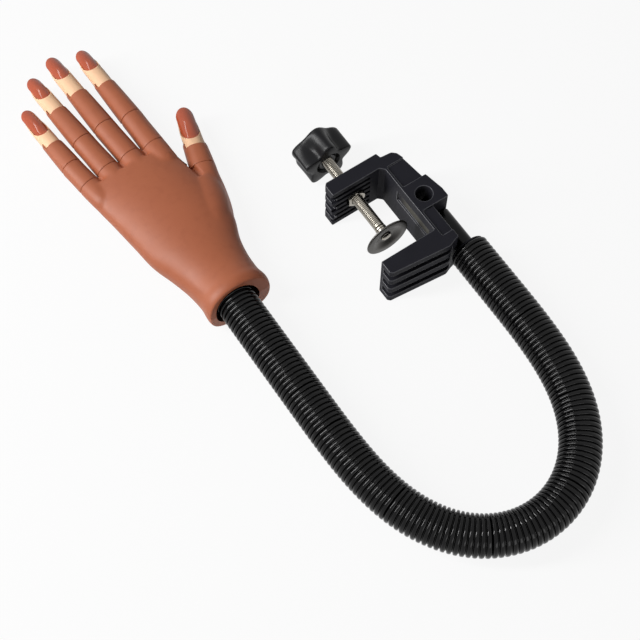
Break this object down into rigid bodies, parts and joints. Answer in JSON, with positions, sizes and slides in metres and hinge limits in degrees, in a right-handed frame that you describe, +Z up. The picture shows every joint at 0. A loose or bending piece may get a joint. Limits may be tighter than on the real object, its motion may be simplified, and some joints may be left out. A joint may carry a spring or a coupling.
{
  "type": "nail practice hand",
  "caption": "Jointed mannequin hand with slide-in nails, on a bendable ribbed arm that swivels on a screw clamp for a table edge.",
  "frame": {"origin": "middle of the fixed jaw's clamping face, on the axis of the clamp screw", "axes": "+Y from the fixed jaw along the screw to the knob, also the direction of the fingers; +X from the jaw tips to the spine; +Z up as the object lies on its side, out of the back of the hand"},
  "size_m": [0.2126, 0.491, 0.041],
  "materials": {
    "black_plastic": "satin moulded black plastic",
    "hose": "semi-gloss black, ribbed",
    "black_steel": "gloss black coating",
    "link_metal": "plain turned metal",
    "bright_steel": "bright zinc-plated steel",
    "nail_lacquer": "high-gloss reddish brown",
    "fingertip_plastic": "smooth hard cream plastic",
    "hand_plastic": "smooth brown plastic with a soft sheen"
  },
  "bodies": {
    "clamp": {"clamp_frame": "black_plastic", "fixed_jaw": "black_plastic", "jaw_nut": "bright_steel", "post_screw": "bright_steel"},
    "pad_carrier": {"pad_collar": "bright_steel"},
    "screw": {"clamp_screw": "bright_steel", "knob": "black_plastic"},
    "pad": {"pad_disc": "bright_steel"},
    "arm_base": {"arm_post": "black_steel", "arm_collar": "black_plastic", "sleeve_1": "hose"},
    "arm_link_1": {"core_link_1": "link_metal", "sleeve_2": "hose"},
    "arm_link_2": {"core_link_2": "link_metal", "sleeve_3": "hose"},
    "arm_link_3": {"core_link_3": "link_metal", "sleeve_4": "hose"},
    "arm_link_4": {"core_link_4": "link_metal", "sleeve_5": "hose"},
    "arm_link_5": {"core_link_5": "link_metal", "sleeve_6": "hose"},
    "arm_link_6": {"core_link_6": "link_metal", "sleeve_7": "hose"},
    "arm_link_7": {"core_link_7": "link_metal", "sleeve_8": "hose"},
    "arm_end": {"wrist_post": "link_metal", "wrist_collar": "black_plastic", "wrist_clip": "bright_steel"},
    "hand": {"palm": "hand_plastic", "wrist_bush": "black_plastic"},
    "index_base": {"index_knuckle_ball": "fingertip_plastic", "index_proximal": "hand_plastic"},
    "index_end": {"index_middle_ball": "fingertip_plastic", "index_middle": "hand_plastic", "index_tip": "fingertip_plastic"},
    "index_nail_piece": {"index_nail": "nail_lacquer"},
    "middle_base": {"middle_knuckle_ball": "fingertip_plastic", "middle_proximal": "hand_plastic"},
    "middle_end": {"middle_middle_ball": "fingertip_plastic", "middle_middle": "hand_plastic", "middle_tip": "fingertip_plastic"},
    "middle_nail_piece": {"middle_nail": "nail_lacquer"},
    "ring_base": {"ring_knuckle_ball": "fingertip_plastic", "ring_proximal": "hand_plastic"},
    "ring_end": {"ring_middle_ball": "fingertip_plastic", "ring_middle": "hand_plastic", "ring_tip": "fingertip_plastic"},
    "ring_nail_piece": {"ring_nail": "nail_lacquer"},
    "pinky_base": {"pinky_knuckle_ball": "fingertip_plastic", "pinky_proximal": "hand_plastic"},
    "pinky_end": {"pinky_middle_ball": "fingertip_plastic", "pinky_middle": "hand_plastic", "pinky_tip": "fingertip_plastic"},
    "pinky_nail_piece": {"pinky_nail": "nail_lacquer"},
    "thumb": {"thumb_ball": "fingertip_plastic", "thumb_sleeve": "hand_plastic", "thumb_tip": "fingertip_plastic"},
    "thumb_nail_piece": {"thumb_nail": "nail_lacquer"}
  },
  "joints": [
    {"name": "pad_travel", "type": "slide", "parent": "clamp", "child": "pad_carrier", "axis": [0, -1, 0], "range_m": [-0.026, 0.0195]},
    {"name": "screw_turn", "type": "hinge", "parent": "pad_carrier", "child": "screw", "pos_m": [0, 0.06, 0], "axis": [0, -1, 0], "range_deg": [-7500, 5700]},
    {"name": "pad_tilt", "type": "hinge", "parent": "pad_carrier", "child": "pad", "pos_m": [0, 0.0236, 0], "axis": [0, 0, 1], "range_deg": [-3.5, 3.5]},
    {"name": "arm_swivel", "type": "hinge", "parent": "clamp", "child": "arm_base", "pos_m": [0.0398, 0, 0], "axis": [0, 1, 0], "continuous": true},
    {"name": "arm_bend_1", "type": "hinge", "parent": "arm_base", "child": "arm_link_1", "pos_m": [0.0398, -0.04872, 0], "axis": [0, 0, 1], "range_deg": [0, 30], "deforming": ["sleeve_1"]},
    {"name": "arm_bend_2", "type": "hinge", "parent": "arm_link_1", "child": "arm_link_2", "pos_m": [0.0375, -0.11147, 0], "axis": [0.9923, -0.124, 0], "range_deg": [-20, 20], "deforming": ["sleeve_2"]},
    {"name": "arm_bend_3", "type": "hinge", "parent": "arm_link_2", "child": "arm_link_3", "pos_m": [0.01559, -0.16949, 0], "axis": [0, 0, 1], "range_deg": [-2, 30], "deforming": ["sleeve_3"]},
    {"name": "arm_bend_4", "type": "hinge", "parent": "arm_link_3", "child": "arm_link_4", "pos_m": [-0.03922, -0.19512, 0], "axis": [-0.052, -0.9986, 0], "range_deg": [-20, 20], "deforming": ["sleeve_4"]},
    {"name": "arm_bend_5", "type": "hinge", "parent": "arm_link_4", "child": "arm_link_5", "pos_m": [-0.09142, -0.16431, 0], "axis": [0, 0, 1], "range_deg": [-2, 30], "deforming": ["sleeve_5"]},
    {"name": "arm_bend_6", "type": "hinge", "parent": "arm_link_5", "child": "arm_link_6", "pos_m": [-0.11017, -0.10505, 0], "axis": [-0.9955, -0.0949, 0], "range_deg": [-20, 20], "deforming": ["sleeve_6"]},
    {"name": "arm_bend_7", "type": "hinge", "parent": "arm_link_6", "child": "arm_link_7", "pos_m": [-0.11177, -0.04226, 0], "axis": [0, 0, 1], "range_deg": [-8, 25], "deforming": ["sleeve_7"]},
    {"name": "arm_bend_8", "type": "hinge", "parent": "arm_link_7", "child": "arm_end", "pos_m": [-0.11177, 0.02058, 0], "axis": [-1, 0, 0], "range_deg": [-20, 20], "deforming": ["sleeve_8"]},
    {"name": "wrist_turn", "type": "hinge", "parent": "arm_end", "child": "hand", "pos_m": [-0.11177, 0.06, 0], "axis": [0, 1, 0], "continuous": true},
    {"name": "index_knuckle_bend", "type": "hinge", "parent": "hand", "child": "index_base", "pos_m": [-0.09417, 0.1688, 0.0006], "axis": [-0.9998, -0.0175, 0], "range_deg": [0, 55]},
    {"name": "index_middle_bend", "type": "hinge", "parent": "index_base", "child": "index_end", "pos_m": [-0.09469, 0.19879, -0.00019], "axis": [-0.9998, -0.0175, 0], "range_deg": [0, 60]},
    {"name": "index_nail_slide", "type": "slide", "parent": "index_end", "child": "index_nail_piece", "axis": [-0.0174, 0.9968, -0.0785], "range_m": [0, 0.012]},
    {"name": "middle_knuckle_bend", "type": "hinge", "parent": "hand", "child": "middle_base", "pos_m": [-0.11217, 0.1703, 0.0008], "axis": [-0.9973, -0.0732, 0], "range_deg": [0, 55]},
    {"name": "middle_middle_bend", "type": "hinge", "parent": "middle_base", "child": "middle_end", "pos_m": [-0.11451, 0.2022, -0.00004], "axis": [-0.9994, -0.0349, -0.001], "range_deg": [0, 60]},
    {"name": "middle_nail_slide", "type": "slide", "parent": "middle_end", "child": "middle_nail_piece", "axis": [-0.0347, 0.9963, -0.0784], "range_m": [0, 0.012]},
    {"name": "ring_knuckle_bend", "type": "hinge", "parent": "hand", "child": "ring_base", "pos_m": [-0.13027, 0.1696, 0.0006], "axis": [-0.9959, -0.0906, 0], "range_deg": [0, 55]},
    {"name": "ring_middle_bend", "type": "hinge", "parent": "ring_base", "child": "ring_end", "pos_m": [-0.13308, 0.20046, -0.00021], "axis": [-0.998, -0.0628, -0.0007], "range_deg": [0, 60]},
    {"name": "ring_nail_slide", "type": "slide", "parent": "ring_end", "child": "ring_nail_piece", "axis": [-0.0625, 0.995, -0.0784], "range_m": [0, 0.012]},
    {"name": "pinky_knuckle_bend", "type": "hinge", "parent": "hand", "child": "pinky_base", "pos_m": [-0.14697, 0.1663, 0], "axis": [-0.9912, -0.1323, 0], "range_deg": [0, 55]},
    {"name": "pinky_middle_bend", "type": "hinge", "parent": "pinky_base", "child": "pinky_end", "pos_m": [-0.14975, 0.18711, -0.00055], "axis": [-0.9971, -0.0767, -0.0015], "range_deg": [0, 60]},
    {"name": "pinky_nail_slide", "type": "slide", "parent": "pinky_end", "child": "pinky_nail_piece", "axis": [-0.0764, 0.994, -0.0784], "range_m": [0, 0.012]},
    {"name": "thumb_bend", "type": "hinge", "parent": "hand", "child": "thumb", "pos_m": [-0.07477, 0.1375, -0.0042], "axis": [-0.9641, 0.2656, 0], "range_deg": [0, 30]},
    {"name": "thumb_nail_slide", "type": "slide", "parent": "thumb", "child": "thumb_nail_piece", "axis": [0.2655, 0.9638, -0.0262], "range_m": [0, 0.012]}
  ],
  "couplings": [
    {"joint": "screw_turn", "follows": "pad_travel", "rad_per_m": 5026.5}
  ]
}
